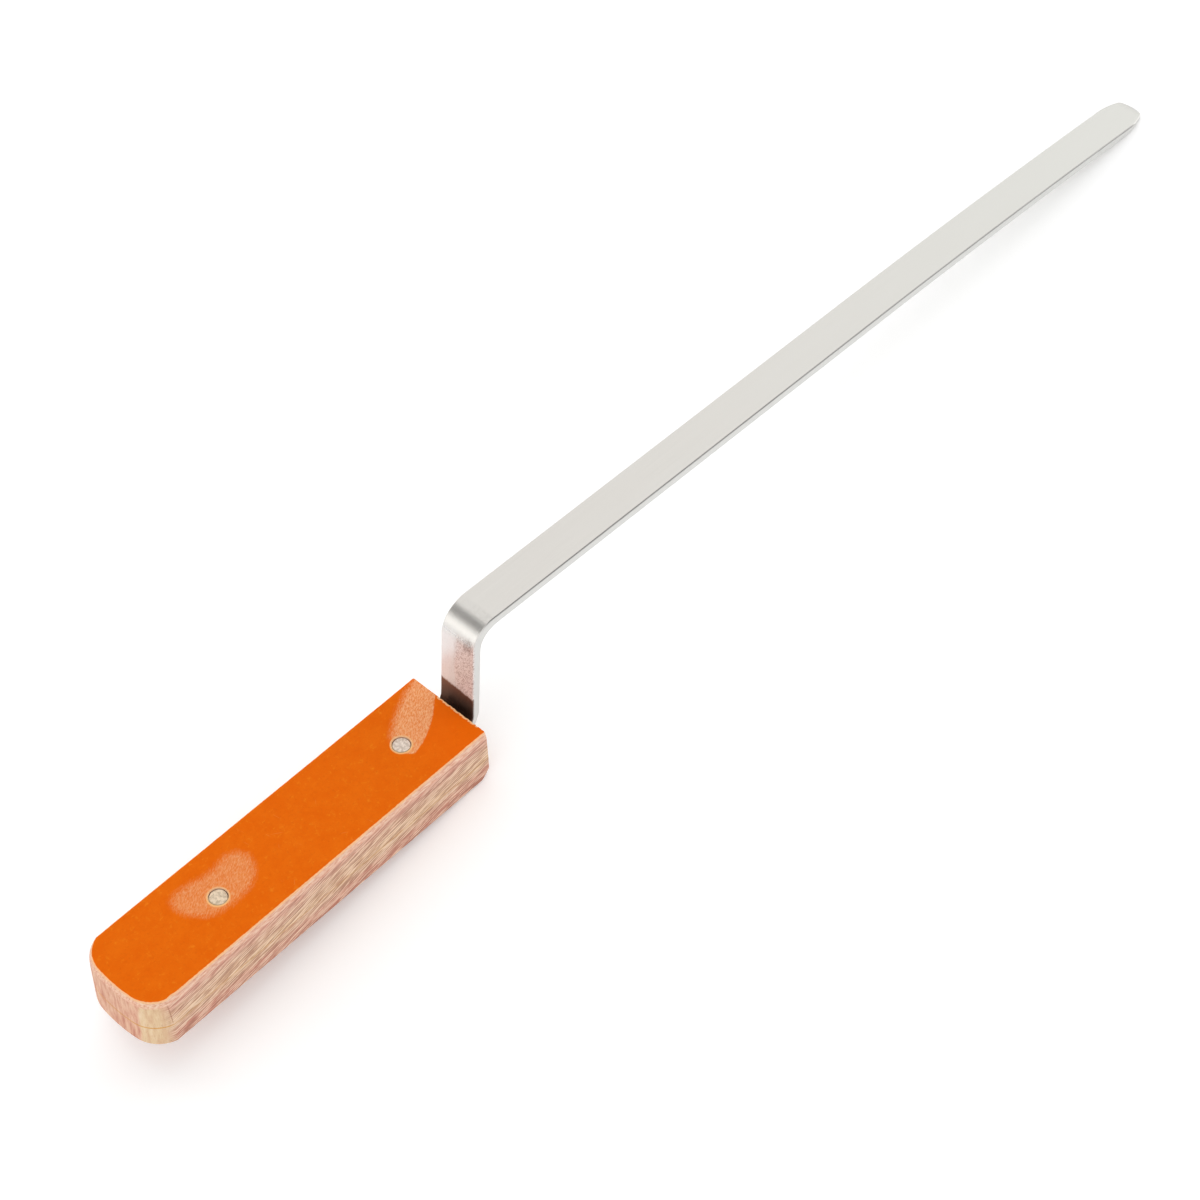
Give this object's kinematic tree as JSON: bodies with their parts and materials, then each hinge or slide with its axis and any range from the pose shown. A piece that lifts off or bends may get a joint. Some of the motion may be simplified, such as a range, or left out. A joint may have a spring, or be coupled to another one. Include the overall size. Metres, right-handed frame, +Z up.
{
  "type": "hive tool",
  "caption": "Cranked hive tool: a long flat steel blade that steps up out of a wooden handle made of two pinned and glued scales.",
  "frame": {"origin": "middle of the bounding box's base, on the surface the tool rests on", "axes": "+X along the tool towards the blade's tip, +Y across the tool, +Z up. The tool is in its resting pose: it stands on the handle's lower front edge and the blade's tip, so the handle and blade are pitched 6 degrees nose-down and the butt is raised."},
  "size_m": [0.4546, 0.0312, 0.0498],
  "materials": {
    "blade_steel": "satin stainless flat bar with fine lengthwise brushing and a slight heat tint at the lower bend",
    "orange_coated_wood": "satin orange coat on the outer face, bare pink and yellow wood on the sides and sanded edges",
    "adhesive": "cured golden-brown resin, sanded flush",
    "pin_steel": "matte ground ends"
  },
  "bodies": {
    "root": {"steel_blade": "blade_steel", "upper_scale": "orange_coated_wood", "lower_scale": "orange_coated_wood", "bond_line": "adhesive", "front_pin": "pin_steel", "rear_pin": "pin_steel", "front_pin_glue": "adhesive", "rear_pin_glue": "adhesive"}
  },
  "joints": []
}
